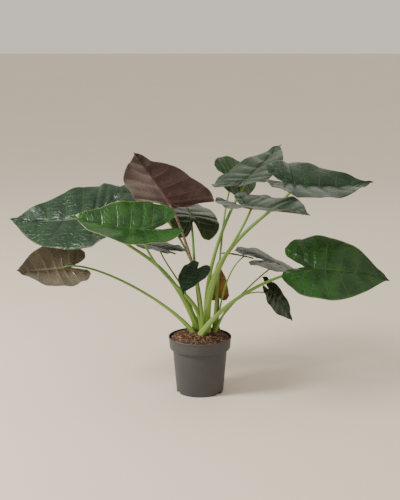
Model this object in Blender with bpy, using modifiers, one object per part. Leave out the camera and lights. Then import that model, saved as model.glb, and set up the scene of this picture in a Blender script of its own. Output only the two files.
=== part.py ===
"""Potted alocasia: a nursery pot of soil with seventeen arrow-shaped leaves on long stalks.

Metres, +Z up. The origin is the centre of the pot's underside. The viewer's side is -Y.
Every leaf is a stalk (petiole) that rises from the crown and a blade that hangs from its end.
"""

import math
from typing import NamedTuple

import bmesh
import bpy
from mathutils import Euler, Vector

# --- pot -------------------------------------------------------------------------------------
POT_HEIGHT = 0.154
RIM_RADIUS = 0.085
BAND_FOOT_RADIUS = 0.082
BAND_HEIGHT = 0.034
BODY_TOP_RADIUS = 0.0727
BASE_RADIUS = 0.0635
LIP_HEIGHT = 0.004
LIP_OVERHANG = 0.0012
POT_WALL = 0.0014
POT_FLOOR = 0.0025
POT_STEPS = 48
DRAIN_WIDTH = 0.020
DRAIN_HEIGHT = 0.007
DRAIN_DEPTH = 0.012
DRAIN_COUNT = 3
DRAIN_TURN = math.radians(-67.0)

# --- soil and crown --------------------------------------------------------------------------
GAP = 0.0003
SOIL_EDGE_Z = 0.147
SOIL_TOP_Z = 0.165
SOIL_STEPS = 48
CROWN_CENTRE = (0.015, 0.016)
CROWN_RADIUS = 0.047
CROWN_TOP_Z = 0.1417
CROWN_DEPTH = 0.036
CROWN_STEPS = 24

# --- leaves ----------------------------------------------------------------------------------
STALK_START_Z = 0.150
STALK_POINTS = 12
SOCKET_POINTS = 4
BLADE_THICKNESS = 0.0012

# Half of a blade lying flat: across in half widths, along in blade lengths ahead of the stalk
# and in lobe lengths behind it.
OUTER_MARGIN = (
    (0.0, 1.0), (0.075, 0.915), (0.24, 0.80), (0.52, 0.625), (0.80, 0.41),
    (0.97, 0.18), (1.0, -0.10), (0.93, -0.45), (0.77, -0.78), (0.53, -0.98),
)
RIBS = (
    (0.0, 1.0), (0.0, 0.87), (0.0, 0.70), (0.0, 0.50), (0.0, 0.30),
    (0.0, 0.13), (0.0, 0.0), (0.14, -0.30), (0.32, -0.66), (0.53, -0.98),
)
SINUS_MARGIN = ((0.0, -0.32), (0.07, -0.48), (0.155, -0.70), (0.30, -0.93))
STALK_ROW = 6
COLUMNS = (0.0, 0.4, 0.75, 1.0)


class Leaf(NamedTuple):
    """One leaf: its stalk's route and how its blade is turned and bent (metres, degrees)."""

    foot: tuple
    rise: tuple
    reach: tuple
    attach: tuple
    radii: tuple
    heading: float
    pitch: float
    roll: float
    length: float
    width: float = 0.45
    lobe: float = 0.42
    fold: float = 10.0
    curl: float = -20.0
    arch: float = 10.0
    droop: float = 0.0
    twist: float = 0.0
    bow: float = 0.0


# foot and handles place the stalk; attach is where it meets the blade. heading turns the tip in
# plan (0 to +X, 90 to +Y), pitch lifts it and roll lowers the blade's right side. length runs
# from the stalk to the tip; width and lobe are shares of it.
LEAVES = {
    "01": Leaf(
        (0.001, 0.023), (-0.090, 0.030, 0.390), (-0.170, 0.025, 0.355),
        (-0.285, 0.030, 0.475), (0.0070, 0.0036), 170, -12, -33, 0.270,
        lobe=0.36, fold=15, curl=-25, arch=5, droop=-20, twist=-10, bow=30,
    ),
    "02": Leaf(
        (0.006, 0.006), (0.015, -0.020, 0.285), (-0.120, -0.110, 0.320),
        (-0.149, -0.175, 0.481), (0.0070, 0.0030), 187, 5, -29, 0.190,
        width=0.46, lobe=0.54, fold=25, arch=5, droop=-15, twist=-5, bow=30,
    ),
    "03": Leaf(
        (-0.010, -0.004), (-0.060, -0.010, 0.245), (-0.310, 0.070, 0.360),
        (-0.375, 0.080, 0.323), (0.0055, 0.0026), 211, 1, 138, 0.163,
        width=0.46, lobe=0.45, fold=0, curl=-30, arch=30, droop=20, twist=-10, bow=15,
    ),
    "04": Leaf(
        (-0.006, 0.039), (0.030, 0.035, 0.215), (-0.045, 0.060, 0.435),
        (-0.080, 0.045, 0.508), (0.0055, 0.0036), -117, 40, 5, 0.268,
        lobe=0.40, fold=15, curl=-10, arch=5, droop=-70, twist=5, bow=-5,
    ),
    "05": Leaf(
        (0.013, 0.051), (-0.020, 0.060, 0.290), (-0.015, 0.095, 0.400),
        (-0.026, 0.120, 0.461), (0.0050, 0.0032), 110, 17, 10, 0.181,
        lobe=0.44, droop=65,
    ),
    "06": Leaf(
        (-0.017, 0.034), (-0.010, 0.050, 0.260), (-0.085, 0.065, 0.310),
        (-0.111, 0.080, 0.378), (0.0045, 0.0020), 137, 3, 4, 0.134,
        lobe=0.55, fold=15, arch=15, droop=5, bow=30,
    ),
    "07": Leaf(
        (0.009, -0.010), (0.006, -0.028, 0.250), (-0.010, -0.075, 0.315),
        (-0.012, -0.120, 0.361), (0.0045, 0.0022), -124, -28, -7, 0.086,
        droop=10, bow=-15,
    ),
    "08": Leaf(
        (0.025, 0.037), (-0.010, 0.045, 0.320), (0.095, 0.075, 0.515),
        (0.127, 0.100, 0.564), (0.0065, 0.0036), 55, 22, -9, 0.209,
        fold=15, arch=0, droop=-25, bow=-5,
    ),
    "09": Leaf(
        (0.037, 0.027), (0.055, 0.070, 0.345), (0.060, 0.170, 0.455),
        (0.094, 0.235, 0.553), (0.0040, 0.0024), 45, -6, 54, 0.118,
        width=0.56, lobe=0.56, droop=-5,
    ),
    "10": Leaf(
        (0.020, 0.019), (-0.005, 0.000, 0.420), (0.205, -0.025, 0.485),
        (0.244, -0.050, 0.573), (0.0075, 0.0036), 7, -9, 18, 0.227,
        lobe=0.37, fold=20, arch=-10, droop=-10, twist=5, bow=-25,
    ),
    "11": Leaf(
        (0.021, -0.005), (0.010, -0.015, 0.335), (0.090, -0.085, 0.410),
        (0.129, -0.130, 0.526), (0.0070, 0.0030), -43, 4, 1, 0.211,
        lobe=0.41, fold=20, arch=0, droop=-30, twist=5, bow=15,
    ),
    "12": Leaf(
        (0.034, 0.013), (0.025, 0.020, 0.180), (0.180, 0.065, 0.330),
        (0.211, 0.090, 0.329), (0.0035, 0.0020), 27, -26, 9, 0.195,
        width=0.50, lobe=0.58, curl=-15, droop=25, twist=-5,
    ),
    "13": Leaf(
        (-0.006, -0.024), (0.050, -0.060, 0.265), (0.190, -0.015, 0.330),
        (0.301, -0.060, 0.356), (0.0065, 0.0034), -2, -4, 41, 0.216,
        width=0.47, lobe=0.40, fold=15, curl=-25, arch=30, twist=20, bow=-10,
    ),
    "14": Leaf(
        (0.036, 0.001), (0.060, 0.000, 0.210), (0.085, 0.015, 0.290),
        (0.193, 0.000, 0.272), (0.0040, 0.0018), 21, -49, 39, 0.108,
        curl=-25, twist=20,
    ),
    "15": Leaf(
        (0.054, 0.042), (0.040, 0.065, 0.195), (0.055, 0.115, 0.190),
        (0.051, 0.110, 0.238), (0.0030, 0.0022), 92, 75, 0, 0.098,
        width=0.33, lobe=0.14, fold=20, curl=15, arch=-5, droop=10,
    ),
    "16": Leaf(
        (-0.018, 0.048), (0.040, 0.090, 0.255), (-0.055, 0.165, 0.435),
        (-0.168, 0.220, 0.503), (0.0050, 0.0026), 165, 5, -22, 0.130,
        arch=15,
    ),
    "17": Leaf(
        (0.036, 0.046), (0.055, 0.040, 0.175), (0.055, 0.035, 0.320),
        (0.118, 0.028, 0.368), (0.0035, 0.0018), 175, 12, 15, 0.064,
        width=0.42, droop=5,
    ),
}

COLOURS = {
    "pot": (0.05, 0.05, 0.055, 0.55),
    "soil": (0.07, 0.035, 0.017, 0.95),
    "crown": (0.16, 0.12, 0.05, 0.80),
    "stalk": (0.16, 0.30, 0.06, 0.45),
    "mottled_stalk": (0.16, 0.10, 0.06, 0.50),
    "withered_stalk": (0.07, 0.035, 0.02, 0.70),
    "blade": (0.03, 0.11, 0.04, 0.32),
    "young_blade": (0.06, 0.18, 0.03, 0.32),
    "withered_blade": (0.25, 0.13, 0.03, 0.60),
}
MOTTLED = ("04",)
WITHERED = ("15",)
YOUNG = ("02", "09")


def clear_scene():
    """Remove every object so the model starts from nothing."""
    for item in list(bpy.data.objects):
        bpy.data.objects.remove(item, do_unlink=True)


def make_collection(name):
    """Make a collection under the scene's own."""
    group = bpy.data.collections.new(name)
    bpy.context.scene.collection.children.link(group)
    return group


def make_material(name):
    """Make a Principled material from the colour table."""
    red, green, blue, roughness = COLOURS[name]
    material = bpy.data.materials.new(name)
    material.use_nodes = True
    shader = material.node_tree.nodes["Principled BSDF"]
    shader.inputs["Base Color"].default_value = (red, green, blue, 1.0)
    shader.inputs["Roughness"].default_value = roughness
    shader.inputs["Metallic"].default_value = 0.0
    return material


def add_object(name, data, group, material=None):
    """Link a new object holding this data and give it its material."""
    item = bpy.data.objects.new(name, data)
    group.objects.link(item)
    if material:
        data.materials.append(material)
    return item


def hide_cutter(cutter):
    """Keep a cutter out of the model."""
    cutter.hide_render = True
    cutter.display_type = "WIRE"


def cut(target, cutter):
    """Subtract a cutter from an object."""
    boolean = target.modifiers.new(cutter.name, "BOOLEAN")
    boolean.operation = "DIFFERENCE"
    boolean.solver = "EXACT"
    boolean.object = cutter


def turned(name, profile, group, material, steps):
    """Turn a profile of (radius, height) points about the object's vertical axis."""
    mesh = bpy.data.meshes.new(name)
    points = [(radius, 0.0, height) for radius, height in profile]
    edges = [(i, i + 1) for i in range(len(points) - 1)]
    mesh.from_pydata(points, edges, [])
    item = add_object(name, mesh, group, material)
    screw = item.modifiers.new("turn", "SCREW")
    screw.axis = "Z"
    screw.steps = steps
    screw.render_steps = steps
    screw.use_merge_vertices = True
    screw.merge_threshold = 0.0001
    screw.use_smooth_shade = True
    return item


# --- pot and soil ----------------------------------------------------------------------------
def wall_profile(inset):
    """The pot's side from the rim down to the foot, moved inwards by a wall or a gap."""
    band_z = POT_HEIGHT - BAND_HEIGHT
    outer = [
        (RIM_RADIUS - LIP_OVERHANG, POT_HEIGHT - LIP_HEIGHT),
        (BAND_FOOT_RADIUS, band_z + 0.004),
        (BAND_FOOT_RADIUS - 0.002, band_z),
        (BODY_TOP_RADIUS + 0.0015, band_z - 0.002),
        (BODY_TOP_RADIUS, band_z - 0.005),
        (BASE_RADIUS, 0.0),
    ]
    return [(radius - inset, height) for radius, height in outer]


def foot_corner(inset, height):
    """The wall's radius at a height near the foot, on the same slope as the body."""
    slope = (BODY_TOP_RADIUS - BASE_RADIUS) / (POT_HEIGHT - BAND_HEIGHT - 0.005)
    return BASE_RADIUS - inset + slope * height


def build_pot(group, cutters):
    """The nursery pot: banded rim, tapered body, flat floor and drain slots at the foot."""
    inner = wall_profile(POT_WALL)[:-1]
    outer = wall_profile(0.0)[:-1]
    lip = [
        (RIM_RADIUS - LIP_OVERHANG - POT_WALL, POT_HEIGHT - 0.0006),
        (RIM_RADIUS - LIP_OVERHANG - POT_WALL + 0.0006, POT_HEIGHT),
        (RIM_RADIUS - 0.0008, POT_HEIGHT),
        (RIM_RADIUS, POT_HEIGHT - 0.0010),
        (RIM_RADIUS, POT_HEIGHT - LIP_HEIGHT + 0.0012),
    ]
    foot = [(foot_corner(0.0, 0.0012), 0.0012), (BASE_RADIUS - 0.0012, 0.0), (0.0, 0.0)]
    floor = [(0.0, POT_FLOOR), (foot_corner(POT_WALL, POT_FLOOR), POT_FLOOR)]
    profile = floor + inner[::-1] + lip + outer + foot
    pot = turned("pot", profile, group, make_material("pot"), POT_STEPS)
    for index in range(DRAIN_COUNT):
        turn = DRAIN_TURN + math.radians(-90.0) + index * math.tau / DRAIN_COUNT
        cut(pot, drain_cutter(index, turn, cutters))


def drain_cutter(index, turn, cutters):
    """A block that cuts one drain slot through the foot of the wall."""
    mesh = bpy.data.meshes.new(f"drain_cutter_{index}")
    shell = bmesh.new()
    bmesh.ops.create_cube(shell, size=1.0)
    size = Vector((DRAIN_DEPTH, DRAIN_WIDTH, 2.0 * DRAIN_HEIGHT))
    bmesh.ops.scale(shell, vec=size, verts=shell.verts)
    shell.to_mesh(mesh)
    shell.free()
    cutter = add_object(mesh.name, mesh, cutters)
    cutter.location = (BASE_RADIUS * math.cos(turn), BASE_RADIUS * math.sin(turn), 0.0)
    cutter.rotation_euler = (0.0, 0.0, turn)
    hide_cutter(cutter)
    return cutter


def soil_profile():
    """Soil heaped to a low mound and fitted inside the pot's wall."""
    inset = POT_WALL + GAP
    rim = RIM_RADIUS - LIP_OVERHANG - inset
    floor_z = POT_FLOOR + GAP
    band_rise = (SOIL_EDGE_Z - POT_HEIGHT + BAND_HEIGHT) / BAND_HEIGHT
    edge = BAND_FOOT_RADIUS - inset + (rim - BAND_FOOT_RADIUS + inset) * band_rise - 0.0004
    mound = [(0.0, SOIL_TOP_Z), (0.030, SOIL_TOP_Z), (0.052, 0.161), (0.070, 0.154), (edge, SOIL_EDGE_Z)]
    side = wall_profile(inset)[1:-1]
    return mound + side + [(foot_corner(inset, floor_z), floor_z), (0.0, floor_z)]


def crown_profile(grow):
    """The crown's squat dome, grown all round for the hollow that it sits in."""
    top = CROWN_TOP_Z + grow
    low = CROWN_TOP_Z - CROWN_DEPTH - grow
    radius = CROWN_RADIUS + grow
    return [
        (0.0, top), (radius - 0.006, top), (radius, top - 0.006),
        (radius, low + 0.016), (radius - 0.016, low + 0.003), (0.0, low),
    ]


def build_soil(group, cutters):
    """The potting soil, hollowed for the crown and for the foot of every stalk."""
    soil = turned("potting_soil", soil_profile(), group, make_material("soil"), SOIL_STEPS)
    hollow = turned("crown_hollow", crown_profile(GAP), cutters, None, CROWN_STEPS)
    hollow.location = (*CROWN_CENTRE, 0.0)
    hide_cutter(hollow)
    cut(soil, hollow)
    for number, leaf in LEAVES.items():
        socket = stalk_mesh(f"socket_{number}", leaf, cutters, None, GAP, SOCKET_POINTS)
        hide_cutter(socket)
        cut(soil, socket)


def build_crown(group):
    """The crown that the stalks grow from, buried in the soil."""
    crown = turned("crown", crown_profile(0.0), group, make_material("crown"), CROWN_STEPS)
    crown.location = (*CROWN_CENTRE, 0.0)


# --- stalks ----------------------------------------------------------------------------------
def blade_turn(leaf):
    """The rotation that turns a flat blade to its heading, pitch and roll."""
    heading = Euler((0.0, 0.0, math.radians(leaf.heading - 90.0))).to_matrix()
    pitch = Euler((math.radians(leaf.pitch), 0.0, 0.0)).to_matrix()
    roll = Euler((0.0, math.radians(leaf.roll), 0.0)).to_matrix()
    return heading @ pitch @ roll


def stalk_end(leaf):
    """Where the stalk stops, just clear of the blade's underside."""
    normal = blade_turn(leaf) @ Vector((0.0, 0.0, 1.0))
    arrival = (Vector(leaf.attach) - Vector(leaf.reach)).normalized()
    tilt = math.sqrt(max(0.0, 1.0 - arrival.dot(normal) ** 2))
    clear = BLADE_THICKNESS / 2.0 + GAP + leaf.radii[1] * tilt + 0.0003
    return Vector(leaf.attach) - clear * normal


def stalk_route(leaf):
    """Points and radii along a stalk: a short upright foot and then one smooth curve."""
    start = Vector((*leaf.foot, STALK_START_Z))
    foot = Vector((*leaf.foot, CROWN_TOP_Z + GAP))
    rise = Vector(leaf.rise)
    reach = Vector(leaf.reach)
    end = stalk_end(leaf)
    base, top = leaf.radii
    route = [(foot, base)]
    for step in range(STALK_POINTS):
        t = step / (STALK_POINTS - 1)
        s = 1.0 - t
        point = s**3 * start + 3 * s * s * t * rise + 3 * s * t * t * reach + t**3 * end
        route.append((point, top + (base - top) * s**1.6))
    return route


def stalk_mesh(name, leaf, group, material, grow, count):
    """Sweep the first points of a stalk's route as a round tube with closed ends."""
    curve = bpy.data.curves.new(name, "CURVE")
    curve.dimensions = "3D"
    curve.bevel_depth = 1.0
    curve.bevel_resolution = 2
    curve.use_fill_caps = True
    route = stalk_route(leaf)[:count]
    spline = curve.splines.new("POLY")
    spline.points.add(len(route) - 1)
    for knot, (point, radius) in zip(spline.points, route):
        knot.co = (*point, 1.0)
        knot.radius = radius + grow
    if grow:
        spline.points[0].co.z -= 0.001
    guide = add_object(f"{name}_guide", curve, group)
    bpy.context.view_layer.update()
    evaluated = guide.evaluated_get(bpy.context.evaluated_depsgraph_get())
    mesh = bpy.data.meshes.new_from_object(evaluated)
    mesh.name = name
    weld(mesh)
    bpy.data.objects.remove(guide, do_unlink=True)
    mesh.materials.clear()
    item = add_object(name, mesh, group, material)
    mesh.shade_smooth()
    mesh.set_sharp_from_angle(angle=math.radians(50.0))
    return item


def weld(mesh):
    """Join the loose caps of a tube to its wall."""
    shell = bmesh.new()
    shell.from_mesh(mesh)
    bmesh.ops.remove_doubles(shell, verts=shell.verts, dist=0.00001)
    shell.to_mesh(mesh)
    shell.free()


# --- blades ----------------------------------------------------------------------------------
def bent(length, angle):
    """How far a line of this length reaches and sinks when it bends evenly through an angle."""
    if abs(angle) < 1e-6:
        return length, 0.0
    return length * math.sin(angle) / angle, length * (1.0 - math.cos(angle)) / angle


def bend_point(leaf, side, across, along):
    """Take a point of the flat blade (metres from the stalk) to its bent place."""
    half = leaf.width * leaf.length
    fold = math.radians(leaf.fold)
    curl = math.radians(leaf.curl) * across / half
    reach, rise = bent(across, curl)
    lateral = reach * math.cos(fold) - rise * math.sin(fold)
    lift = reach * math.sin(fold) + rise * math.cos(fold)
    span = leaf.length if along > 0.0 else leaf.lobe * leaf.length
    turn = math.radians(leaf.arch if along > 0.0 else leaf.droop) * abs(along) / span
    ahead, sink = bent(abs(along), turn)
    twist = math.radians(leaf.twist) * along / leaf.length
    x = side * lateral * math.cos(twist) + lift * math.sin(twist)
    z = -side * lateral * math.sin(twist) + lift * math.cos(twist)
    sign = math.copysign(1.0, along)
    y = sign * (ahead + z * math.sin(turn))
    z = z * math.cos(turn) - sink
    bow = math.radians(leaf.bow) / leaf.length
    if abs(bow) > 1e-6:
        x, y = (1.0 - math.cos(bow * y)) / bow + x * math.cos(bow * y), (1.0 / bow - x) * math.sin(bow * y)
    return Vector((x, y, z))


def blade_rows():
    """Rows of flat points for half a blade, rib to margin, and the rows behind the basal rib."""
    outer = []
    for rib, margin in zip(RIBS, OUTER_MARGIN):
        columns = COLUMNS if rib != margin else (0.0,)
        outer.append([mix(rib, margin, share) for share in columns])
    inner = []
    for rib, margin in zip(RIBS[STALK_ROW:], SINUS_MARGIN):
        inner.append([rib, margin])
    return outer, inner


def mix(start, stop, share):
    """A point part of the way from one flat point to another."""
    return tuple(a + (b - a) * share for a, b in zip(start, stop))


def build_blade(name, leaf, group, material):
    """One blade: a bent open surface of two halves, given its thickness by Solidify."""
    turn = blade_turn(leaf)
    origin = Vector(leaf.attach)
    half = leaf.width * leaf.length
    shell = bmesh.new()
    made = {}

    def vertex(side, point):
        across, along = point
        key = (side if across > 0.0 else 0, round(across, 4), round(along, 4))
        if key not in made:
            span = leaf.length if along > 0.0 else leaf.lobe * leaf.length
            local = bend_point(leaf, side, across * half, along * span)
            made[key] = shell.verts.new(origin + turn @ local)
        return made[key]

    outer, inner = blade_rows()
    for side in (1, -1):
        for rows in (outer, inner):
            strip(shell, side, rows, vertex, flip=(side > 0) != (rows is outer))
    mesh = bpy.data.meshes.new(name)
    shell.to_mesh(mesh)
    shell.free()
    mesh.shade_smooth()
    item = add_object(name, mesh, group, material)
    thicken = item.modifiers.new("thickness", "SOLIDIFY")
    thicken.thickness = BLADE_THICKNESS
    thicken.offset = 0.0
    thicken.use_even_offset = True


def strip(shell, side, rows, vertex, flip):
    """Fill the faces between neighbouring rows, closing to a point where a row is one point."""
    for upper, lower in zip(rows, rows[1:]):
        for column in range(max(len(upper), len(lower)) - 1):
            corners = [
                upper[min(column, len(upper) - 1)], upper[min(column + 1, len(upper) - 1)],
                lower[min(column + 1, len(lower) - 1)], lower[min(column, len(lower) - 1)],
            ]
            face = []
            for corner in corners:
                made = vertex(side, corner)
                if made not in face:
                    face.append(made)
            shell.faces.new(face[::-1] if flip else face)


def leaf_material(number, part):
    """The material of a leaf's stalk or blade, by the leaf's age."""
    if number in WITHERED:
        kind = f"withered_{part}"
    elif number in MOTTLED and part == "stalk":
        kind = "mottled_stalk"
    elif number in YOUNG and part == "blade":
        kind = "young_blade"
    else:
        kind = part
    return bpy.data.materials.get(kind) or make_material(kind)


def main():
    """Build the pot, the soil, the crown and every leaf."""
    clear_scene()
    group = make_collection("potted_alocasia")
    cutters = make_collection("cutters")
    build_pot(group, cutters)
    build_crown(group)
    build_soil(group, cutters)
    for number, leaf in LEAVES.items():
        stalk_mesh(f"stalk_{number}", leaf, group, leaf_material(number, "stalk"), 0.0, None)
        build_blade(f"blade_{number}", leaf, group, leaf_material(number, "blade"))


main()
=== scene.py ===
"""Looks of a potted alocasia: glossy quilted blades on long stalks in a banded nursery pot.

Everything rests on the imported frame's one body. Metres, +Z up; the viewer's side is -Y.
"""

import logging
import math
import random
from dataclasses import dataclass, field
from enum import Enum

import bmesh
import bpy
import numpy as np
from mathutils import Matrix, Vector, noise


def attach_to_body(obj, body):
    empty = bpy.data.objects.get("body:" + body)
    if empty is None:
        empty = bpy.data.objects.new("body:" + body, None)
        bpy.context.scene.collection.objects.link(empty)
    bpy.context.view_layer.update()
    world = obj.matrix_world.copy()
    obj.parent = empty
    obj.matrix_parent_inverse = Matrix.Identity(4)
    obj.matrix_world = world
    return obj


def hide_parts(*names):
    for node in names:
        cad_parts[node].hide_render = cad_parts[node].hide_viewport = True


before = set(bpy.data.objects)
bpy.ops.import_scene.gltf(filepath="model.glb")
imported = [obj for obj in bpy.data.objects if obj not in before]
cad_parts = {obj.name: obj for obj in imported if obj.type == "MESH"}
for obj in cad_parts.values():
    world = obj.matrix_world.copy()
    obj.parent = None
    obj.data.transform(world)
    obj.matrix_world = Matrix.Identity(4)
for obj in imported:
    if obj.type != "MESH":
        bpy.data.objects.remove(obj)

LOG = logging.getLogger("potted_alocasia")
BODY = "root"
SEED = 11

# --- pot and soil, measured from the pot's foot ------------------------------------------------
POT_HEIGHT = 0.154
RIM_RADIUS = 0.085
BAND_FOOT_RADIUS = 0.082
BAND_HEIGHT = 0.034
BODY_TOP_RADIUS = 0.0727
BASE_RADIUS = 0.0635
POT_WALL = 0.0014
POT_FLOOR = 0.0025
POT_SEGMENTS = 144
DRAIN_WIDTH = 0.020
DRAIN_HEIGHT = 0.007
DRAIN_DEPTH = 0.012
DRAIN_COUNT = 3
DRAIN_TURN = math.radians(-157.0)
SOIL_EDGE_Z = 0.147
SOIL_TOP_Z = 0.165
SOIL_FLOOR_Z = 0.004
SOIL_RADIUS = RIM_RADIUS - 0.0036
CHIP_COUNT = 1500
CHIP_SIZES = (0.0011, 0.0034)
CHIP_SQUASH = ((0.8, 2.0), (0.7, 1.2), (0.4, 0.9))
LUMP_HEIGHT = 0.0022
CRUMB_HEIGHT = 0.0012

# --- stalks and blades -------------------------------------------------------------------------
STALK_START_Z = 0.142
STALK_BEND_Z = 0.150
STALK_RINGS = 44
STALK_SIDES = 20
SHEATH_SHARE = 0.45
SHEATH_LENGTH = 0.2
STALK_TAPER = 1.6
CHANNEL_AIM = (0.016, 0.015)
CHANNEL_DEPTH = 0.30
CHANNEL_WIDTH = 0.6
RIB_RISE = 0.0016
RIB_SPREAD = 0.05
BLADE_THICKNESS = 0.0008
ROWS = 72
COLUMNS = 22
LOBE_ROWS = 28
LOBE_COLUMNS = 9
QUILT_SHARE = 0.022
WAVE_SHARE = 0.016
VEIN_SWEEP = 0.10

# Half of a flat blade: across in half widths, along in blade lengths ahead of the stalk and in
# lobe lengths behind it. The rib runs down the middle and then out along the lobe.
OUTER_MARGIN = (
    (0.0, 1.0), (0.075, 0.915), (0.24, 0.80), (0.52, 0.625), (0.80, 0.41),
    (0.97, 0.18), (1.0, -0.10), (0.93, -0.45), (0.77, -0.78), (0.53, -0.98),
)
MIDRIB = ((0.0, 1.0), (0.0, 0.87), (0.0, 0.70), (0.0, 0.50), (0.0, 0.30), (0.0, 0.13), (0.0, 0.0))
BASAL_RIB = ((0.0, 0.0), (0.14, -0.30), (0.32, -0.66), (0.53, -0.98))
SINUS_MARGIN = ((0.0, -0.32), (0.07, -0.48), (0.155, -0.70), (0.30, -0.93), (0.53, -0.98))


class Tone(Enum):
    """The kinds of leaf colouring on this plant; the grey kind is dark green leaf colour lightened by a
    painted sheen.
    """

    DEEP = "deep"
    FRESH = "fresh"
    # Grey kind: dark green leaf colour, lightened and greyed as a painted sheen of glancing reflection.
    GREY = "grey"
    OLIVE = "olive"
    MAROON = "maroon"
    TAUPE = "taupe"
    WITHERED = "withered"


@dataclass(frozen=True)
class BladeFinish:
    """Colours of one kind of blade, as linear RGB.

    Args:
        upper: tissue between the veins on the upper face.
        upper_dark: darker patches of the upper face.
        vein: veins and midrib on the upper face.
        margin: the thin edge line.
        under: tissue on the underside.
        under_vein: raised veins on the underside.
        gloss: roughness of the upper face.
        under_gloss: roughness of the underside.
    """

    upper: tuple[float, float, float]
    upper_dark: tuple[float, float, float]
    vein: tuple[float, float, float]
    margin: tuple[float, float, float]
    under: tuple[float, float, float]
    under_vein: tuple[float, float, float]
    gloss: float = 0.30
    under_gloss: float = 0.38


@dataclass(frozen=True)
class StalkFinish:
    """Colours of one kind of stalk, as linear RGB, from its foot to its top."""

    foot: tuple[float, float, float]
    top: tuple[float, float, float]
    streak: tuple[float, float, float]
    roughness: float = 0.42


BLADE_FINISHES: dict[Tone, BladeFinish] = {
    Tone.DEEP: BladeFinish(
        (0.010, 0.040, 0.014), (0.005, 0.020, 0.009), (0.034, 0.085, 0.028),
        (0.08, 0.14, 0.05), (0.070, 0.035, 0.025), (0.22, 0.12, 0.08),
    ),
    Tone.FRESH: BladeFinish(
        (0.022, 0.088, 0.014), (0.010, 0.046, 0.009), (0.060, 0.145, 0.034),
        (0.26, 0.32, 0.09), (0.090, 0.085, 0.030), (0.22, 0.18, 0.08),
    ),
    # Painted sheen: the upper face is dark green lightened towards grey to stand for glancing reflection.
    Tone.GREY: BladeFinish(
        (0.018, 0.046, 0.020), (0.008, 0.023, 0.011), (0.055, 0.092, 0.040),
        (0.15, 0.20, 0.09), (0.060, 0.030, 0.028), (0.22, 0.12, 0.09), 0.34,
    ),
    Tone.OLIVE: BladeFinish(
        (0.020, 0.042, 0.009), (0.009, 0.020, 0.005), (0.055, 0.085, 0.022),
        (0.20, 0.25, 0.08), (0.070, 0.045, 0.022), (0.20, 0.13, 0.07), 0.30,
    ),
    Tone.MAROON: BladeFinish(
        (0.030, 0.090, 0.030), (0.012, 0.045, 0.018), (0.085, 0.170, 0.055),
        (0.15, 0.16, 0.08), (0.072, 0.040, 0.044), (0.20, 0.095, 0.100), 0.30, 0.40,
    ),
    Tone.TAUPE: BladeFinish(
        (0.035, 0.095, 0.035), (0.015, 0.050, 0.020), (0.090, 0.170, 0.060),
        (0.20, 0.20, 0.11), (0.170, 0.148, 0.095), (0.36, 0.28, 0.18), 0.30, 0.26,
    ),
    Tone.WITHERED: BladeFinish(
        (0.330, 0.175, 0.035), (0.130, 0.065, 0.022), (0.420, 0.260, 0.080),
        (0.20, 0.12, 0.05), (0.220, 0.120, 0.035), (0.30, 0.17, 0.06), 0.60, 0.60,
    ),
}
STALK_FINISHES: dict[str, StalkFinish] = {
    "stalk": StalkFinish((0.215, 0.350, 0.060), (0.125, 0.265, 0.045), (0.070, 0.170, 0.025)),
    "mottled_stalk": StalkFinish((0.240, 0.300, 0.110), (0.215, 0.145, 0.105), (0.095, 0.055, 0.040)),
    "withered_stalk": StalkFinish((0.110, 0.060, 0.030), (0.070, 0.035, 0.022), (0.030, 0.016, 0.010), 0.7),
}


@dataclass(frozen=True)
class Leaf:
    """One leaf: its stalk's route and how its blade is turned and bent (metres, degrees).

    Args:
        foot: stalk centre on the crown.
        rise: first handle of the stalk's curve.
        reach: second handle of the stalk's curve.
        attach: where the stalk meets the blade.
        radii: stalk radius at its foot and at its top.
        heading: the tip's direction in plan, 0 to +X and 90 to +Y.
        pitch: how far the tip is lifted.
        roll: how far the blade's right side is lowered.
        length: stalk to tip.
        width: half width as a share of the length.
        lobe: lobe length as a share of the length.
        fold: rise of each half at the midrib.
        curl: turn of each half from midrib to margin.
        arch: bend of the midrib towards the tip.
        droop: bend of the lobes.
        twist: turn of the blade about its midrib.
        bow: sideways bend of the midrib.
    """

    foot: tuple[float, float]
    rise: tuple[float, float, float]
    reach: tuple[float, float, float]
    attach: tuple[float, float, float]
    radii: tuple[float, float]
    heading: float
    pitch: float
    roll: float
    length: float
    width: float = 0.45
    lobe: float = 0.42
    fold: float = 10.0
    curl: float = -20.0
    arch: float = 10.0
    droop: float = 0.0
    twist: float = 0.0
    bow: float = 0.0

    def turn(self) -> np.ndarray:
        """The rotation from the flat blade's axes to its place."""
        heading = Matrix.Rotation(math.radians(self.heading - 90.0), 3, "Z")
        pitch = Matrix.Rotation(math.radians(self.pitch), 3, "X")
        roll = Matrix.Rotation(math.radians(self.roll), 3, "Y")
        return np.array(heading @ pitch @ roll)


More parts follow.
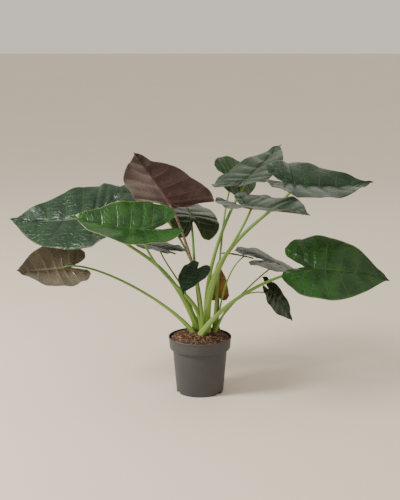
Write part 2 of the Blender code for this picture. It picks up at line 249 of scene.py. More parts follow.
LEAVES: dict[str, Leaf] = {
    "01": Leaf(
        (0.001, 0.023), (-0.090, 0.030, 0.390), (-0.170, 0.025, 0.355),
        (-0.285, 0.030, 0.475), (0.0070, 0.0036), 170, -12, -33, 0.270,
        lobe=0.36, fold=15, curl=-25, arch=5, droop=-20, twist=-10, bow=30,
    ),
    "02": Leaf(
        (0.006, 0.006), (0.015, -0.020, 0.285), (-0.120, -0.110, 0.320),
        (-0.149, -0.175, 0.481), (0.0070, 0.0030), 187, 5, -29, 0.190,
        width=0.46, lobe=0.54, fold=25, arch=5, droop=-15, twist=-5, bow=30,
    ),
    "03": Leaf(
        (-0.010, -0.004), (-0.060, -0.010, 0.245), (-0.310, 0.070, 0.360),
        (-0.375, 0.080, 0.323), (0.0055, 0.0026), 211, 1, 138, 0.163,
        width=0.46, lobe=0.45, fold=0, curl=-30, arch=30, droop=20, twist=-10, bow=15,
    ),
    "04": Leaf(
        (-0.006, 0.039), (0.030, 0.035, 0.215), (-0.045, 0.060, 0.435),
        (-0.080, 0.045, 0.508), (0.0055, 0.0036), -117, 40, 5, 0.268,
        lobe=0.40, fold=15, curl=-10, arch=5, droop=-70, twist=5, bow=-5,
    ),
    "05": Leaf(
        (0.013, 0.051), (-0.020, 0.060, 0.290), (-0.015, 0.095, 0.400),
        (-0.026, 0.120, 0.461), (0.0050, 0.0032), 110, 17, 10, 0.181,
        lobe=0.44, droop=65,
    ),
    "06": Leaf(
        (-0.017, 0.034), (-0.010, 0.050, 0.260), (-0.085, 0.065, 0.310),
        (-0.111, 0.080, 0.378), (0.0045, 0.0020), 137, 3, 4, 0.134,
        lobe=0.55, fold=15, arch=15, droop=5, bow=30,
    ),
    "07": Leaf(
        (0.009, -0.010), (0.006, -0.028, 0.250), (-0.010, -0.075, 0.315),
        (-0.012, -0.120, 0.361), (0.0045, 0.0022), -124, -28, -7, 0.086,
        droop=10, bow=-15,
    ),
    "08": Leaf(
        (0.025, 0.037), (-0.010, 0.045, 0.320), (0.095, 0.075, 0.515),
        (0.127, 0.100, 0.564), (0.0065, 0.0036), 55, 22, -9, 0.209,
        fold=15, arch=0, droop=-25, bow=-5,
    ),
    "09": Leaf(
        (0.037, 0.027), (0.055, 0.070, 0.345), (0.060, 0.170, 0.455),
        (0.094, 0.235, 0.553), (0.0040, 0.0024), 45, -6, 54, 0.118,
        width=0.56, lobe=0.56, droop=-5,
    ),
    "10": Leaf(
        (0.020, 0.019), (-0.005, 0.000, 0.420), (0.205, -0.025, 0.485),
        (0.244, -0.050, 0.573), (0.0075, 0.0036), 7, -9, 18, 0.227,
        lobe=0.37, fold=20, arch=-10, droop=-10, twist=5, bow=-25,
    ),
    "11": Leaf(
        (0.021, -0.005), (0.010, -0.015, 0.335), (0.090, -0.085, 0.410),
        (0.129, -0.130, 0.526), (0.0070, 0.0030), -43, 4, 1, 0.211,
        lobe=0.41, fold=20, arch=0, droop=-30, twist=5, bow=15,
    ),
    "12": Leaf(
        (0.034, 0.013), (0.025, 0.020, 0.180), (0.180, 0.065, 0.330),
        (0.211, 0.090, 0.329), (0.0035, 0.0020), 27, -26, 9, 0.195,
        width=0.50, lobe=0.58, curl=-15, droop=25, twist=-5,
    ),
    "13": Leaf(
        (-0.006, -0.024), (0.050, -0.060, 0.265), (0.190, -0.015, 0.330),
        (0.301, -0.060, 0.356), (0.0065, 0.0034), -2, -4, 41, 0.216,
        width=0.47, lobe=0.40, fold=15, curl=-25, arch=30, twist=20, bow=-10,
    ),
    "14": Leaf(
        (0.036, 0.001), (0.060, 0.000, 0.210), (0.085, 0.015, 0.290),
        (0.193, 0.000, 0.272), (0.0040, 0.0018), 21, -49, 39, 0.108,
        curl=-25, twist=20,
    ),
    "15": Leaf(
        (0.054, 0.042), (0.040, 0.065, 0.195), (0.055, 0.115, 0.190),
        (0.051, 0.110, 0.238), (0.0030, 0.0022), 92, 75, 0, 0.098,
        width=0.33, lobe=0.14, fold=20, curl=15, arch=-5, droop=10,
    ),
    "16": Leaf(
        (-0.018, 0.048), (0.040, 0.090, 0.255), (-0.055, 0.165, 0.435),
        (-0.168, 0.220, 0.503), (0.0050, 0.0026), 165, 5, -22, 0.130,
        arch=15,
    ),
    "17": Leaf(
        (0.036, 0.046), (0.055, 0.040, 0.175), (0.055, 0.035, 0.320),
        (0.118, 0.028, 0.368), (0.0035, 0.0018), 175, 12, 15, 0.064,
        width=0.42, droop=5,
    ),
}
# Leaves 06, 08 and 11 take the grey finish, a painted sheen over their dark green.
TONES: dict[str, Tone] = {
    "02": Tone.FRESH, "03": Tone.TAUPE, "04": Tone.MAROON, "05": Tone.OLIVE, "06": Tone.GREY,
    "08": Tone.GREY, "09": Tone.FRESH, "11": Tone.GREY, "13": Tone.FRESH, "15": Tone.WITHERED,
}
STALK_KINDS: dict[str, str] = {"04": "mottled_stalk", "15": "withered_stalk"}
BLADE_SLOTS: dict[str, str] = {"02": "young_blade", "09": "young_blade", "15": "withered_blade"}


BARK_TINTS = (
    ((0.20, 0.105, 0.055), (0.07, 0.035, 0.018)),
    ((0.11, 0.055, 0.028), (0.03, 0.015, 0.009)),
    ((0.36, 0.22, 0.12), (0.15, 0.08, 0.04)),
)


# --- shape helpers -----------------------------------------------------------------------------
def smooth_line(points: tuple, count: int) -> np.ndarray:
    """Sample a smooth curve through points.

    Args:
        points: the points the curve passes through.
        count: how many samples, evenly spread over the spans.

    Returns:
        An array of count points.
    """
    knots = np.array(points, float)
    knots = np.vstack([2 * knots[0] - knots[1], knots, 2 * knots[-1] - knots[-2]])
    spans = len(points) - 1
    place = np.linspace(0.0, spans, count)
    index = np.minimum(place.astype(int), spans - 1)
    u = (place - index)[:, None]
    a, b, c, d = (knots[index + k] for k in range(4))
    square = (2 * a - 5 * b + 4 * c - d) * u**2
    cube = (3 * b - a - 3 * c + d) * u**3
    return 0.5 * (2 * b + (c - a) * u + square + cube)


def level_ring(radius: float, height: float, angle: np.ndarray) -> np.ndarray:
    """A level circle of points about the pot's axis."""
    return np.stack([radius * np.cos(angle), radius * np.sin(angle), np.full_like(angle, height)], axis=-1)


def bent(length: np.ndarray, angle: np.ndarray) -> tuple[np.ndarray, np.ndarray]:
    """Reach and sink of lines that bend evenly through an angle."""
    safe = np.where(np.abs(angle) < 1e-6, 1e-6, angle)
    return length * np.sin(safe) / safe, length * (1.0 - np.cos(safe)) / safe


def bend_blade(leaf: Leaf, x: np.ndarray, y: np.ndarray) -> np.ndarray:
    """Take flat blade points, in metres from the stalk, to their bent place.

    Args:
        leaf: the leaf whose bends apply.
        x: signed distance across the midrib.
        y: distance along the midrib.

    Returns:
        Points in the blade's own axes.
    """
    side = np.where(x < 0.0, -1.0, 1.0)
    across = np.abs(x)
    reach, rise = bent(across, math.radians(leaf.curl) * across / (leaf.width * leaf.length))
    fold = math.radians(leaf.fold)
    lateral = side * (reach * math.cos(fold) - rise * math.sin(fold))
    lift = reach * math.sin(fold) + rise * math.cos(fold)
    ahead_side = y > 0.0
    span = np.where(ahead_side, leaf.length, leaf.lobe * leaf.length)
    turn = np.radians(np.where(ahead_side, leaf.arch, leaf.droop)) * np.abs(y) / span
    ahead, sink = bent(np.abs(y), turn)
    twist = math.radians(leaf.twist) * y / leaf.length
    px = lateral * np.cos(twist) + lift * np.sin(twist)
    pz = -lateral * np.sin(twist) + lift * np.cos(twist)
    py = np.where(ahead_side, 1.0, -1.0) * (ahead + pz * np.sin(turn))
    pz = pz * np.cos(turn) - sink
    bow = math.radians(leaf.bow) / leaf.length
    if abs(bow) > 1e-6:
        turned = bow * py
        px, py = (1.0 - np.cos(turned)) / bow + px * np.cos(turned), (1.0 / bow - px) * np.sin(turned)
    return np.stack([px, py, pz], axis=-1)


@dataclass
class Builder:
    """Collects grids of vertices and makes one mesh object of them."""

    name: str
    points: list = field(default_factory=list)
    faces: list = field(default_factory=list)
    slots: list = field(default_factory=list)
    coords: list = field(default_factory=list)

    def grid(self, points: np.ndarray, coords: np.ndarray, slot: int = 0, wrap: bool = False) -> None:
        """Add a grid of quads.

        Args:
            points: rows by columns by 3.
            coords: rows by columns by 2 pattern coordinates.
            slot: the material slot of the faces.
            wrap: join the last column to the first.
        """
        rows, columns = points.shape[:2]
        base = len(self.points)
        self.points.extend(points.reshape(-1, 3).tolist())
        last = columns if wrap else columns - 1
        for row in range(rows - 1):
            for column in range(last):
                nxt = (column + 1) % columns
                corner = [(row, column), (row + 1, column), (row + 1, nxt), (row, nxt)]
                self.faces.append([base + r * columns + c for r, c in corner])
                self.coords.append([coords[r, c] for r, c in corner])
                self.slots.append(slot)

    def build(self, merge: float = 0.00002) -> bpy.types.Object:
        """Make the object: welded, facing out and smooth.

        Args:
            merge: distance under which vertices are one.

        Returns:
            The new object, linked to the scene.
        """
        mesh = bpy.data.meshes.new(self.name)
        mesh.from_pydata(self.points, [], self.faces)
        layer = mesh.uv_layers.new(name="pattern")
        flat = np.array([pair for face in self.coords for pair in face], dtype=np.float32)
        layer.data.foreach_set("uv", flat.ravel())
        mesh.polygons.foreach_set("material_index", self.slots)
        shell = bmesh.new()
        shell.from_mesh(mesh)
        bmesh.ops.remove_doubles(shell, verts=shell.verts, dist=merge)
        bmesh.ops.dissolve_degenerate(shell, edges=shell.edges, dist=merge)
        bmesh.ops.recalc_face_normals(shell, faces=shell.faces)
        shell.to_mesh(mesh)
        shell.free()
        mesh.shade_smooth()
        item = bpy.data.objects.new(self.name, mesh)
        bpy.context.scene.collection.objects.link(item)
        return item


# --- shader helpers ----------------------------------------------------------------------------
@dataclass
class Graph:
    """A small helper that adds and links nodes in one tree."""

    tree: bpy.types.NodeTree

    def add(self, kind: str, **values: object) -> bpy.types.Node:
        """Add a node and set its properties."""
        node = self.tree.nodes.new(kind)
        for key, value in values.items():
            setattr(node, key, value)
        return node

    def put(self, socket: bpy.types.NodeSocket, value: object) -> None:
        """Link an output into a socket, or set the socket's value."""
        if isinstance(value, bpy.types.NodeSocket):
            self.tree.links.new(value, socket)
        else:
            socket.default_value = value

    def math(self, operation: str, first: object, second: object = 0.0) -> bpy.types.NodeSocket:
        """A math node's result."""
        node = self.add("ShaderNodeMath", operation=operation)
        self.put(node.inputs[0], first)
        self.put(node.inputs[1], second)
        return node.outputs[0]

    def ramp(
        self, value: object, low: float, high: float, start: float = 0.0, end: float = 1.0
    ) -> bpy.types.NodeSocket:
        """A smooth step from start to end as the value goes from low to high."""
        node = self.add("ShaderNodeMapRange", interpolation_type="SMOOTHSTEP")
        for index, entry in enumerate((value, low, high, start, end)):
            self.put(node.inputs[index], entry)
        return node.outputs[0]

    def mix(self, share: object, first: object, second: object) -> bpy.types.NodeSocket:
        """A mix of two colours."""
        node = self.add("ShaderNodeMix", data_type="RGBA")
        self.put(node.inputs[0], share)
        self.put(node.inputs[6], first if isinstance(first, bpy.types.NodeSocket) else (*first, 1.0))
        self.put(node.inputs[7], second if isinstance(second, bpy.types.NodeSocket) else (*second, 1.0))
        return node.outputs[2]

    def noise(
        self, vector: object, scale: float, detail: float = 3.0, rough: float = 0.5
    ) -> bpy.types.NodeSocket:
        """Noise values about 0.5."""
        node = self.add("ShaderNodeTexNoise")
        self.put(node.inputs["Vector"], vector)
        node.inputs["Scale"].default_value = scale
        node.inputs["Detail"].default_value = detail
        node.inputs["Roughness"].default_value = rough
        return node.outputs["Fac"]


def vein_group() -> bpy.types.NodeTree:
    """A group that draws a blade's veins from its pattern coordinates.

    Returns:
        A tree with outputs Vein, Margin, Mottle and Height.
    """
    name = "blade_veins"
    if name in bpy.data.node_groups:
        return bpy.data.node_groups[name]
    tree = bpy.data.node_groups.new(name, "ShaderNodeTree")
    tree.interface.new_socket("Pattern", in_out="INPUT", socket_type="NodeSocketVector")
    for output in ("Vein", "Margin", "Mottle", "Height"):
        tree.interface.new_socket(output, in_out="OUTPUT", socket_type="NodeSocketFloat")
    graph = Graph(tree)
    source = graph.add("NodeGroupInput")
    sink = graph.add("NodeGroupOutput")
    split = graph.add("ShaderNodeSeparateXYZ")
    graph.put(split.inputs[0], source.outputs["Pattern"])
    phase, out = split.outputs[0], split.outputs[1]
    place = graph.add("ShaderNodeTexCoord").outputs["Object"]
    wobble = graph.math("MULTIPLY", graph.math("SUBTRACT", graph.noise(place, 40.0), 0.5), 0.12)
    shifted = graph.math("ADD", phase, wobble)
    cycle = graph.math("FRACT", graph.math("ADD", shifted, 0.5))
    near = graph.math("ABSOLUTE", graph.math("SUBTRACT", cycle, 0.5))
    breadth = graph.ramp(out, 0.0, 1.0, 0.075, 0.02)
    lateral = graph.math("SUBTRACT", 1.0, graph.math("MINIMUM", graph.math("DIVIDE", near, breadth), 1.0))
    midrib = graph.ramp(out, 0.012, 0.045, 1.0, 0.0)
    net = graph.add("ShaderNodeTexVoronoi", feature="DISTANCE_TO_EDGE")
    graph.put(net.inputs["Vector"], place)
    net.inputs["Scale"].default_value = 85.0
    fine = graph.ramp(net.outputs["Distance"], 0.0, 0.10, 0.30, 0.0)
    vein = graph.math("MAXIMUM", graph.math("MAXIMUM", lateral, midrib), fine)
    graph.put(sink.inputs["Vein"], vein)
    graph.put(sink.inputs["Margin"], graph.ramp(out, 0.965, 0.995))
    graph.put(sink.inputs["Mottle"], graph.ramp(graph.noise(place, 24.0, 4.0), 0.35, 0.65))
    pucker = graph.math("MULTIPLY", graph.noise(place, 75.0, 2.0), 0.5)
    graph.put(sink.inputs["Height"], graph.math("SUBTRACT", pucker, graph.math("MULTIPLY", vein, 0.8)))
    return tree


def new_material(name: str) -> tuple[bpy.types.Material, Graph, bpy.types.Node]:
    """A material with its graph and its Principled node."""
    material = bpy.data.materials.new(name)
    material.use_nodes = True
    return material, Graph(material.node_tree), material.node_tree.nodes["Principled BSDF"]


def bump(
    graph: Graph, shader: bpy.types.Node, height: object, distance: float, strength: float = 0.6
) -> None:
    """Feed a height into a shader's normal."""
    node = graph.add("ShaderNodeBump")
    node.inputs["Strength"].default_value = strength
    node.inputs["Distance"].default_value = distance
    graph.put(node.inputs["Height"], height)
    graph.put(shader.inputs["Normal"], node.outputs["Normal"])


def blade_material(tone: Tone, upper: bool) -> bpy.types.Material:
    """The material of one face of a blade.

    Args:
        tone: the kind of leaf.
        upper: True for the upper face, False for the underside.

    Returns:
        The material, made once for each kind and face.
    """
    name = f"blade_{tone.value}_{'upper' if upper else 'under'}"
    if name in bpy.data.materials:
        return bpy.data.materials[name]
    finish = BLADE_FINISHES[tone]
    material, graph, shader = new_material(name)
    veins = graph.add("ShaderNodeGroup", node_tree=vein_group())
    graph.put(veins.inputs["Pattern"], graph.add("ShaderNodeUVMap", uv_map="pattern").outputs["UV"])
    if upper:
        base = graph.mix(veins.outputs["Mottle"], finish.upper_dark, finish.upper)
        colour = graph.mix(graph.math("MULTIPLY", veins.outputs["Vein"], 0.75), base, finish.vein)
    else:
        dark = tuple(0.6 * value for value in finish.under)
        base = graph.mix(veins.outputs["Mottle"], dark, finish.under)
        colour = graph.mix(graph.math("MULTIPLY", veins.outputs["Vein"], 0.8), base, finish.under_vein)
    colour = graph.mix(graph.math("MULTIPLY", veins.outputs["Margin"], 0.8), colour, finish.margin)
    graph.put(shader.inputs["Base Color"], colour)
    rough = finish.gloss if upper else finish.under_gloss
    spread = graph.ramp(veins.outputs["Mottle"], 0.0, 1.0, rough + 0.06, rough - 0.04)
    graph.put(shader.inputs["Roughness"], spread)
    shader.inputs["Specular IOR Level"].default_value = 0.30
    shader.inputs["Subsurface Weight"].default_value = 0.04
    shader.inputs["Subsurface Radius"].default_value = (0.2, 0.4, 0.1)
    shader.inputs["Subsurface Scale"].default_value = 0.003
    shader.inputs["Coat Weight"].default_value = 0.12 if tone is not Tone.WITHERED else 0.0
    shader.inputs["Coat Roughness"].default_value = 0.22
    height = veins.outputs["Height"]
    if not upper:
        height = graph.math("MULTIPLY", height, -1.0)
    bump(graph, shader, height, 0.0030)
    return material


def stalk_material(kind: str) -> bpy.types.Material:
    """The streaked tissue of a stalk."""
    if f"tissue_{kind}" in bpy.data.materials:
        return bpy.data.materials[f"tissue_{kind}"]
    finish = STALK_FINISHES[kind]
    material, graph, shader = new_material(f"tissue_{kind}")
    pattern = graph.add("ShaderNodeUVMap", uv_map="pattern").outputs["UV"]
    split = graph.add("ShaderNodeSeparateXYZ")
    graph.put(split.inputs[0], pattern)
    base = graph.mix(graph.ramp(split.outputs[1], 0.02, 0.75), finish.foot, finish.top)
    stretch = graph.add("ShaderNodeMapping")
    graph.put(stretch.inputs["Vector"], pattern)
    stretch.inputs["Scale"].default_value = (26.0, 3.0, 1.0)
    streaks = graph.noise(stretch.outputs["Vector"], 1.0, 4.0, 0.6)
    spots = graph.noise(graph.add("ShaderNodeTexCoord").outputs["Object"], 160.0, 3.0)
    share = graph.ramp(streaks, 0.45, 0.75, 0.0, 0.55)
    if kind == "mottled_stalk":
        share = graph.math("MAXIMUM", share, graph.ramp(spots, 0.48, 0.60, 0.0, 0.9))
    graph.put(shader.inputs["Base Color"], graph.mix(share, base, finish.streak))
    shader.inputs["Roughness"].default_value = finish.roughness
    shader.inputs["Subsurface Weight"].default_value = 0.06
    shader.inputs["Subsurface Scale"].default_value = 0.004
    bump(graph, shader, streaks, 0.0006)
    return material


def plastic_material() -> bpy.types.Material:
    """Matte dark grey moulded plastic with a faint grain and dust."""
    material, graph, shader = new_material("moulded_plastic")
    place = graph.add("ShaderNodeTexCoord").outputs["Object"]
    dust = graph.ramp(graph.noise(place, 14.0, 5.0, 0.6), 0.40, 0.75)
    graph.put(shader.inputs["Base Color"], graph.mix(dust, (0.044, 0.045, 0.049), (0.056, 0.056, 0.058)))
    graph.put(shader.inputs["Roughness"], graph.ramp(dust, 0.0, 1.0, 0.46, 0.58))
    bump(graph, shader, graph.noise(place, 900.0, 2.0), 0.00015, 0.5)
    return material


def soil_material(name: str, light: tuple, dark: tuple) -> bpy.types.Material:
    """Crumbly coir and bark between two colours."""
    material, graph, shader = new_material(name)
    place = graph.add("ShaderNodeTexCoord").outputs["Object"]
    crumbs = graph.add("ShaderNodeTexVoronoi")
    graph.put(crumbs.inputs["Vector"], place)
    crumbs.inputs["Scale"].default_value = 260.0
    tint = graph.noise(place, 95.0, 5.0, 0.7)
    graph.put(shader.inputs["Base Color"], graph.mix(graph.ramp(tint, 0.38, 0.66), dark, light))
    shader.inputs["Roughness"].default_value = 0.95
    bump(graph, shader, graph.math("ADD", crumbs.outputs["Distance"], graph.noise(place, 420.0)), 0.0016, 0.9)
    return material


# --- sub-assemblies ----------------------------------------------------------------------------
@dataclass
class Blade:
    """One quilted blade, fitted to its CAD node."""

    number: str
    leaf: Leaf

    def relief(self, phase: np.ndarray, out: np.ndarray, lobe: bool) -> np.ndarray:
        """Height of the quilting between veins and of the waved margin."""
        bulge = np.abs(np.sin(np.pi * phase)) ** 0.7
        env = np.clip(out / 0.10, 0.0, 1.0) * (1.0 - 0.55 * out)
        fine = 0.18 * np.sin(2 * np.pi * 9.0 * out + 1.7 * phase) * bulge
        quilt = QUILT_SHARE * self.leaf.length * (bulge * 0.9 + fine) * env
        offset = 1.3 * int(self.number)
        wave = WAVE_SHARE * self.leaf.length * np.sin(np.pi * phase * 0.9 + offset) * out**3
        end = np.clip(phase, 0.0, 1.0) * np.clip(9.0 - phase, 0.0, 1.0)
        return (quilt + wave * (0.0 if lobe else 1.0)) * end

    def patch(self, side: int, lobe: bool) -> tuple[np.ndarray, np.ndarray, np.ndarray]:
        """Flat points and pattern coordinates of one patch of half the blade.

        Args:
            side: 1 for the right half, -1 for the left.
            lobe: True for the strip behind the basal rib.

        Returns:
            Arrays of x, of y, and of pattern pairs, rows by columns.
        """
        if lobe:
            rib = smooth_line(BASAL_RIB, LOBE_ROWS)
            edge = smooth_line(SINUS_MARGIN, LOBE_ROWS)
            shares = np.linspace(0.0, 1.0, LOBE_COLUMNS)
            phase = np.linspace(6.0, 9.0, LOBE_ROWS)
        else:
            fore = (ROWS - 1) * 2 // 3 + 1
            rib = np.vstack([smooth_line(MIDRIB, fore), smooth_line(BASAL_RIB, ROWS - fore + 1)[1:]])
            phase = np.concatenate([np.linspace(0.0, 6.0, fore), np.linspace(6.0, 9.0, ROWS - fore + 1)[1:]])
            edge_all = smooth_line(OUTER_MARGIN, 901)
            edge = edge_all[np.clip(np.round(phase * 100).astype(int), 0, 900)]
            shares = np.linspace(0.0, 1.0, COLUMNS)
        flat = rib[:, None] + (edge - rib)[:, None] * shares[None, :, None]
        if not lobe:
            sweep = VEIN_SWEEP * shares * (1.0 - shares)
            flat[..., 1] -= sweep[None, :] * np.sin(np.pi * np.clip(phase / 8.0, 0.0, 1.0))[:, None]
        length = self.leaf.length
        x = side * flat[..., 0] * self.leaf.width * length
        y = np.where(flat[..., 1] > 0.0, flat[..., 1] * length, flat[..., 1] * self.leaf.lobe * length)
        pattern = np.stack(np.broadcast_arrays(phase[:, None], shares[None, :]), axis=-1)
        return x, y, pattern

    def place(self, x: np.ndarray, y: np.ndarray, height: np.ndarray) -> np.ndarray:
        """World points of flat points, raised along the blade's normal."""
        step = 0.0004
        point = bend_blade(self.leaf, x, y)
        along_x = bend_blade(self.leaf, x + step, y) - bend_blade(self.leaf, x - step, y)
        along_y = bend_blade(self.leaf, x, y + step) - bend_blade(self.leaf, x, y - step)
        normal = np.cross(along_x, along_y)
        normal /= np.linalg.norm(normal, axis=-1, keepdims=True) + 1e-12
        local = point + normal * height[..., None]
        return local @ self.leaf.turn().T + np.array(self.leaf.attach)

    def build(self) -> bpy.types.Object:
        """Build both faces and the edge of the blade."""
        builder = Builder(f"leaf_blade_{self.number}")
        for side in (1, -1):
            for lobe in (False, True):
                x, y, pattern = self.patch(side, lobe)
                relief = self.relief(pattern[..., 0], pattern[..., 1], lobe)
                layers = []
                for slot, offset in enumerate((0.5, -0.5)):
                    body = BLADE_THICKNESS * (1.0 - 0.5 * pattern[..., 1])
                    rib = RIB_RISE * np.exp(-((pattern[..., 1] / RIB_SPREAD) ** 2)) if offset < 0 else 0.0
                    points = self.place(x, y, relief + offset * body - rib)
                    builder.grid(points, pattern, slot)
                    layers.append(points[:, -1])
                edge = np.stack(layers, axis=1)
                builder.grid(edge, np.repeat(pattern[:, -1:], 2, axis=1), 0)
        item = builder.build()
        tone = TONES.get(self.number, Tone.DEEP)
        item.data.materials.append(blade_material(tone, True))
        item.data.materials.append(blade_material(tone, False))
        return item


@dataclass
class Stalk:
    """One stalk with a sheathing foot, fitted to its CAD node."""

    number: str
    leaf: Leaf

    def route(self) -> tuple[np.ndarray, np.ndarray]:
        """Points and radii along the stalk."""
        leaf = self.leaf
        up = leaf.turn()[:, 2]
        start = np.array((*leaf.foot, STALK_BEND_Z))
        end = np.array(leaf.attach) - 0.0012 * up
        t = np.linspace(0.0, 1.0, STALK_RINGS)[:, None]
        s = 1.0 - t
        near, far = np.array(leaf.rise), np.array(leaf.reach)
        points = s**3 * start + 3 * s * s * t * near + 3 * s * t * t * far + t**3 * end
        points = np.vstack([[*leaf.foot, STALK_START_Z], points])
        base, top = leaf.radii
        radii = top + (base - top) * s[:, 0] ** STALK_TAPER
        radii = radii * (1.0 + SHEATH_SHARE * np.exp(-((t[:, 0] / SHEATH_LENGTH) ** 2)))
        return points, np.concatenate([radii[:1], radii])

    def build(self) -> bpy.types.Object:
        """Sweep a channelled section along the route and close both ends."""
        points, radii = self.route()
        tangent = np.gradient(points, axis=0)
        tangent /= np.linalg.norm(tangent, axis=1, keepdims=True)
        side = np.cross(tangent[0], (0.0, 1.0, 0.0))
        angle = np.linspace(0.0, 2 * np.pi, STALK_SIDES, endpoint=False)
        inward = math.atan2(*(np.array(CHANNEL_AIM) - np.array(self.leaf.foot))[::-1])
        rings = []
        for index, (point, radius) in enumerate(zip(points, radii)):
            side = side - tangent[index] * (side @ tangent[index])
            side /= np.linalg.norm(side)
            other = np.cross(tangent[index], side)
            share = 1.0 - index / (len(points) - 1)
            away = (angle - inward + np.pi) % (2 * np.pi) - np.pi
            channel = 1.0 - CHANNEL_DEPTH * share * np.exp(-((away / CHANNEL_WIDTH) ** 2))
            spokes = np.cos(angle)[:, None] * side + np.sin(angle)[:, None] * other
            rings.append(point + radius * channel[:, None] * spokes)
        foot, top = (np.repeat(end, STALK_SIDES, axis=0) for end in (points[:1], points[-1:]))
        grid = np.array([foot, *rings, top])
        along = np.linspace(0.0, 1.0, len(grid))
        pattern = np.stack(np.broadcast_arrays(angle[None, :] / (2 * np.pi), along[:, None]), axis=-1)
        builder = Builder(f"leaf_stalk_{self.number}")
        builder.grid(grid, pattern, 0, wrap=True)
        item = builder.build()
        item.data.materials.append(stalk_material(STALK_KINDS.get(self.number, "stalk")))
        return item


@dataclass
class Pot:
    """The nursery pot: rolled lip, band, tapered body and drain slots."""

    segments: int = POT_SEGMENTS

    def profile(self) -> list[tuple[float, float]]:
        """The wall from the inner floor over the lip and down to the foot."""
        band = POT_HEIGHT - BAND_HEIGHT
        slope = (BODY_TOP_RADIUS - BASE_RADIUS) / (band - 0.005)
        outer = [
            (RIM_RADIUS, POT_HEIGHT - 0.0010), (RIM_RADIUS + 0.0002, POT_HEIGHT - 0.0025),
            (RIM_RADIUS - 0.0002, POT_HEIGHT - 0.0042), (RIM_RADIUS - 0.0012, POT_HEIGHT - 0.0050),
            (BAND_FOOT_RADIUS + 0.0004, band + 0.0065), (BAND_FOOT_RADIUS - 0.0002, band + 0.0035),
            (BAND_FOOT_RADIUS - 0.0016, band + 0.0010), (BAND_FOOT_RADIUS - 0.0040, band - 0.0008),
            (BODY_TOP_RADIUS + 0.0022, band - 0.0018), (BODY_TOP_RADIUS + 0.0006, band - 0.0030),
            (BODY_TOP_RADIUS - 0.0003, band - 0.0055), (BODY_TOP_RADIUS + 0.0001, band - 0.0080),
            (BASE_RADIUS + slope * 0.0025, 0.0025), (BASE_RADIUS, 0.0010),
            (BASE_RADIUS - 0.0010, 0.0), (0.0, 0.0),
        ]
        inner = [(0.0, POT_FLOOR), (BASE_RADIUS + slope * POT_FLOOR - POT_WALL, POT_FLOOR)]
        inner += [(r - POT_WALL, z) for r, z in reversed(outer[3:12])]
        inner += [(RIM_RADIUS - 0.0026, POT_HEIGHT - 0.0012), (RIM_RADIUS - 0.0018, POT_HEIGHT)]
        return inner + [(RIM_RADIUS - 0.0008, POT_HEIGHT)] + outer

    def build(self) -> bpy.types.Object:
        """Turn the profile and cut the drain slots."""
        angle = np.linspace(0.0, 2 * np.pi, self.segments, endpoint=False)
        grid = np.array([level_ring(radius, height, angle) for radius, height in self.profile()])
        builder = Builder("nursery_pot")
        builder.grid(grid, np.zeros((*grid.shape[:2], 2)), 0, wrap=True)
        pot = builder.build()
        for index in range(DRAIN_COUNT):
            self.slot(pot, DRAIN_TURN + index * math.tau / DRAIN_COUNT)
        pot.data.set_sharp_from_angle(angle=math.radians(40.0))
        pot.data.materials.append(plastic_material())
        return pot

    def slot(self, pot: bpy.types.Object, turn: float) -> None:
        """Cut one drain slot through the foot of the wall."""
        bpy.ops.mesh.primitive_cube_add(size=1.0)
        cutter = bpy.context.object
        cutter.scale = (DRAIN_DEPTH, DRAIN_WIDTH, 2.0 * DRAIN_HEIGHT)
        cutter.location = (BASE_RADIUS * math.cos(turn), BASE_RADIUS * math.sin(turn), 0.0)
        cutter.rotation_euler = (0.0, 0.0, turn)
        boolean = pot.modifiers.new("slot", "BOOLEAN")
        boolean.operation = "DIFFERENCE"
        boolean.object = cutter
        bpy.context.view_layer.objects.active = pot
        bpy.ops.object.modifier_apply(modifier=boolean.name)
        bpy.data.objects.remove(cutter, do_unlink=True)


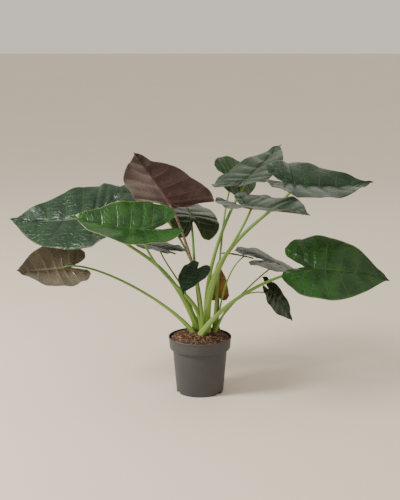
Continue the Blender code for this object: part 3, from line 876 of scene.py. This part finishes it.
@dataclass
class Soil:
    """The mound of coir and bark, with loose chips on it."""

    rings: int = 90
    segments: int = 180

    def height(self, x: float, y: float) -> float:
        """Height of the mound's surface."""
        radius = math.hypot(x, y)
        edge = RIM_RADIUS - 0.004
        fall = max(0.0, (radius - 0.028) / (edge - 0.028))
        lumps = LUMP_HEIGHT * noise.noise(Vector((x, y, 0.0)) * 90.0)
        crumbs = CRUMB_HEIGHT * noise.noise(Vector((x, y, 3.0)) * 240.0)
        calm = min(1.0, 3.0 * (1.0 - radius / edge) + 0.3)
        return SOIL_TOP_Z - (SOIL_TOP_Z - SOIL_EDGE_Z) * fall**1.25 + (lumps + crumbs) * calm

    def mound(self) -> bpy.types.Object:
        """The closed body of soil."""
        angle = np.linspace(0.0, 2 * np.pi, self.segments, endpoint=False)
        rows = []
        for share in np.linspace(0.0, 1.0, self.rings):
            row = level_ring(share * SOIL_RADIUS, 0.0, angle)
            row[:, 2] = [self.height(x, y) for x, y in row[:, :2]]
            rows.append(row)
        band = POT_HEIGHT - BAND_HEIGHT
        below = [
            (BAND_FOOT_RADIUS - 0.003, band + 0.006), (BODY_TOP_RADIUS - 0.002, band - 0.004),
            (BASE_RADIUS - 0.0018, SOIL_FLOOR_Z), (0.0, SOIL_FLOOR_Z),
        ]
        for radius, z in below:
            rows.append(level_ring(radius, z, angle))
        grid = np.array(rows)
        builder = Builder("soil_mound")
        builder.grid(grid, np.zeros((*grid.shape[:2], 2)), 0, wrap=True)
        item = builder.build()
        item.data.materials.append(soil_material("coir", (0.130, 0.068, 0.035), (0.028, 0.014, 0.009)))
        return item

    def chips(self) -> bpy.types.Object:
        """Loose bark chips and crumbs lying on the mound, as one mesh."""
        draw = random.Random(SEED)
        shell = bmesh.new()
        for index in range(CHIP_COUNT):
            radius = (RIM_RADIUS - 0.007) * math.sqrt(draw.random())
            turn = draw.uniform(0.0, math.tau)
            x, y = radius * math.cos(turn), radius * math.sin(turn)
            size = draw.uniform(*CHIP_SIZES)
            made = bmesh.ops.create_icosphere(shell, subdivisions=1, radius=size)["verts"]
            shares = [draw.uniform(low, high) for low, high in CHIP_SQUASH]
            squash = Matrix.Diagonal(shares).to_4x4()
            spin = Matrix.Rotation(draw.uniform(0, math.tau), 4, "Z")
            spin = spin @ Matrix.Rotation(draw.uniform(-0.7, 0.7), 4, "X")
            move = Matrix.Translation((x, y, self.height(x, y) + 0.0004))
            for vert in made:
                jolt = Vector([draw.uniform(-1, 1) for _ in range(3)])
                vert.co += jolt * size * 0.3
            bmesh.ops.transform(shell, matrix=move @ spin @ squash, verts=made)
            for face in {face for vert in made for face in vert.link_faces}:
                face.material_index = index % 3
        mesh = bpy.data.meshes.new("soil_chips")
        shell.to_mesh(mesh)
        shell.free()
        mesh.shade_smooth()
        item = bpy.data.objects.new("soil_chips", mesh)
        bpy.context.scene.collection.objects.link(item)
        for index, (light, dark) in enumerate(BARK_TINTS):
            mesh.materials.append(soil_material(f"bark_{index}", light, dark))
        return item


@dataclass(frozen=True)
class Studio:
    """Pale floor, soft light from the left and the camera."""

    floor_size: float = 40.0
    lens: float = 83.1
    camera_height: float = 1.0424
    camera_distance: float = 3.0
    camera_dip: float = 12.25

    def floor(self) -> bpy.types.Object:
        """The pale floor."""
        bpy.ops.mesh.primitive_plane_add(size=self.floor_size)
        floor = bpy.context.object
        floor.name = "studio_floor"
        material, graph, shader = new_material("pale_floor")
        place = graph.add("ShaderNodeTexCoord").outputs["Object"]
        tint = graph.noise(place, 1.5, 2.0)
        graph.put(shader.inputs["Base Color"], graph.mix(tint, (0.80, 0.71, 0.59), (0.84, 0.75, 0.63)))
        shader.inputs["Roughness"].default_value = 0.9
        shader.inputs["Specular IOR Level"].default_value = 0.1
        floor.data.materials.append(material)
        return floor

    def lamp(self, name: str, place: tuple, size: float, power: float, colour: tuple, aim: tuple) -> None:
        """An area lamp aimed at a point."""
        data = bpy.data.lights.new(name, "AREA")
        data.shape = "DISK"
        data.size = size
        data.energy = power
        data.color = colour
        lamp = bpy.data.objects.new(name, data)
        lamp.location = place
        lamp.rotation_euler = (Vector(aim) - Vector(place)).to_track_quat("-Z", "Y").to_euler()
        bpy.context.scene.collection.objects.link(lamp)

    def build(self) -> None:
        """Set up floor, lamps, sky and camera."""
        self.floor()
        self.lamp("key", (-2.5, -0.9, 2.2), 1.1, 130.0, (1.0, 0.97, 0.92), (0.0, 0.0, 0.35))
        self.lamp("fill", (2.6, -2.4, 1.8), 2.4, 7.0, (1.0, 0.98, 0.95), (0.0, 0.0, 0.35))
        self.lamp("back", (0.6, 2.6, 2.2), 2.0, 8.0, (1.0, 0.98, 0.95), (0.0, 0.0, 0.4))
        world = bpy.data.worlds.new("studio")
        bpy.context.scene.world = world
        world.use_nodes = True
        world.node_tree.nodes["Background"].inputs[0].default_value = (0.95, 0.88, 0.78, 1.0)
        world.node_tree.nodes["Background"].inputs[1].default_value = 0.85
        data = bpy.data.cameras.new("camera")
        data.sensor_fit = "VERTICAL"
        data.sensor_height = 36.0
        data.lens = self.lens
        camera = bpy.data.objects.new("camera", data)
        camera.location = (0.0, -self.camera_distance, self.camera_height)
        camera.rotation_euler = (math.radians(90.0 - self.camera_dip), 0.0, 0.0)
        bpy.context.scene.collection.objects.link(camera)
        bpy.context.scene.camera = camera


def settle(item: bpy.types.Object, slot: str, *nodes: str) -> None:
    """Put a finished piece on the body in place of its CAD nodes.

    Args:
        item: the visible piece.
        slot: the record's material slot; not used.
        nodes: the CAD nodes it stands for.
    """
    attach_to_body(item, BODY)
    if nodes:
        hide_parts(*nodes)
    LOG.info("%s: %d faces", item.name, len(item.data.polygons))


def main() -> None:
    """Build the pieces in order and place them on the frame."""
    logging.basicConfig(level=logging.INFO)
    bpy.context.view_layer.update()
    settle(Pot().build(), "pot_plastic", "pot")
    soil = Soil()
    settle(soil.mound(), "soil", "potting_soil", "crown")
    settle(soil.chips(), "soil")
    for number, leaf in LEAVES.items():
        settle(Stalk(number, leaf).build(), STALK_KINDS.get(number, "stalk"), f"stalk_{number}")
        settle(Blade(number, leaf).build(), BLADE_SLOTS.get(number, "blade"), f"blade_{number}")
    Studio().build()


if __name__ == "__main__":
    main()
